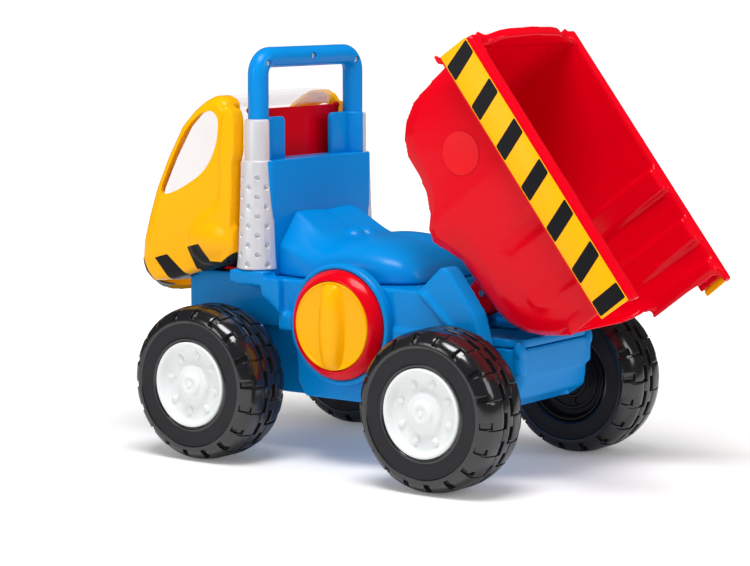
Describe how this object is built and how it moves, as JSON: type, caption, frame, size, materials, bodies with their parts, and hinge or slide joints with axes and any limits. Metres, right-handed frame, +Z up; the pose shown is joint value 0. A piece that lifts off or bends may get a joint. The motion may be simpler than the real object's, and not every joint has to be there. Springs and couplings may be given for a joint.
{
  "type": "toy dump truck",
  "caption": "Toddler's dump truck with a tipping bucket worked by a side knob, a see-through cab, a carrying handle and chunky free-rolling wheels.",
  "frame": {"origin": "centre of the truck's box on the ground with the bucket fully tipped", "axes": "+X towards the cab, +Y to the truck's left, +Z up"},
  "size_m": [0.5276, 0.279, 0.3721],
  "materials": {
    "blue_plastic": "moulded gloss blue",
    "yellow_plastic": "moulded gloss yellow",
    "red_plastic": "moulded gloss red",
    "silver_plastic": "satin silver",
    "trim_black": "moulded black",
    "hub_white": "moulded white",
    "tyre_black": "glossy hard black",
    "clear_plastic": "clear moulded roof and windscreen",
    "gear_nylon": "natural nylon",
    "steel": "drawn steel",
    "band_yellow": "printed yellow and black film",
    "badge_red": "plain printed film"
  },
  "bodies": {
    "truck_body": {"lower_chassis": "blue_plastic", "upper_body": "blue_plastic", "bonnet": "blue_plastic", "headboard": "blue_plastic", "handle_front_half": "blue_plastic", "handle_rear_half": "blue_plastic", "handle_screw_left": "steel", "handle_screw_centre": "steel", "handle_screw_right": "steel", "cab_shell": "yellow_plastic", "cab_glazing": "clear_plastic", "cab_interior": "red_plastic", "front_grille": "trim_black", "exhaust_stack_left": "silver_plastic", "exhaust_stack_right": "silver_plastic", "headlight_left": "hub_white", "headlight_right": "hub_white", "knob_housing_left": "blue_plastic", "knob_housing_right": "blue_plastic", "knob_bezel_left": "red_plastic", "knob_bezel_right": "red_plastic", "knob_bush_left": "gear_nylon", "knob_bush_right": "gear_nylon", "rear_axle_bush_left": "gear_nylon", "rear_axle_bush_right": "gear_nylon", "front_axle_bush_left": "gear_nylon", "front_axle_bush_right": "gear_nylon", "bucket_pivot_pin": "steel", "chassis_screw_1": "steel", "chassis_screw_2": "steel", "chassis_screw_3": "steel", "chassis_screw_4": "steel"},
    "bucket_body": {"bucket": "red_plastic", "sector_gear": "gear_nylon", "sector_dowel": "steel", "hazard_band_left": "band_yellow", "hazard_band_right": "band_yellow", "bucket_badge_left": "badge_red", "bucket_badge_right": "badge_red"},
    "knob_drive": {"knob_left": "yellow_plastic", "knob_right": "yellow_plastic", "knob_shaft": "steel", "pinion": "gear_nylon"},
    "rear_wheelset": {"rear_axle": "steel", "rear_left_tyre": "tyre_black", "rear_left_hub": "hub_white", "rear_left_wheel_back": "trim_black", "rear_right_tyre": "tyre_black", "rear_right_hub": "hub_white", "rear_right_wheel_back": "trim_black"},
    "front_wheelset": {"front_axle": "steel", "front_left_tyre": "tyre_black", "front_left_hub": "hub_white", "front_left_wheel_back": "trim_black", "front_right_tyre": "tyre_black", "front_right_hub": "hub_white", "front_right_wheel_back": "trim_black"}
  },
  "joints": [
    {"name": "bucket_tip", "type": "hinge", "parent": "truck_body", "child": "bucket_body", "pos_m": [-0.05364, 0, 0.132], "axis": [0, -1, 0], "range_deg": [-52.5, 0]},
    {"name": "knob_turn", "type": "hinge", "parent": "truck_body", "child": "knob_drive", "pos_m": [0.02136, 0, 0.123], "axis": [0, -1, 0], "range_deg": [-1, 91]},
    {"name": "rear_axle_spin", "type": "hinge", "parent": "truck_body", "child": "rear_wheelset", "pos_m": [-0.10064, 0, 0.067], "axis": [0, 1, 0], "continuous": true},
    {"name": "front_axle_spin", "type": "hinge", "parent": "truck_body", "child": "front_wheelset", "pos_m": [0.14306, 0, 0.067], "axis": [0, 1, 0], "continuous": true}
  ],
  "couplings": [
    {"joint": "knob_turn", "follows": "bucket_tip", "ratio": -1.7143}
  ]
}
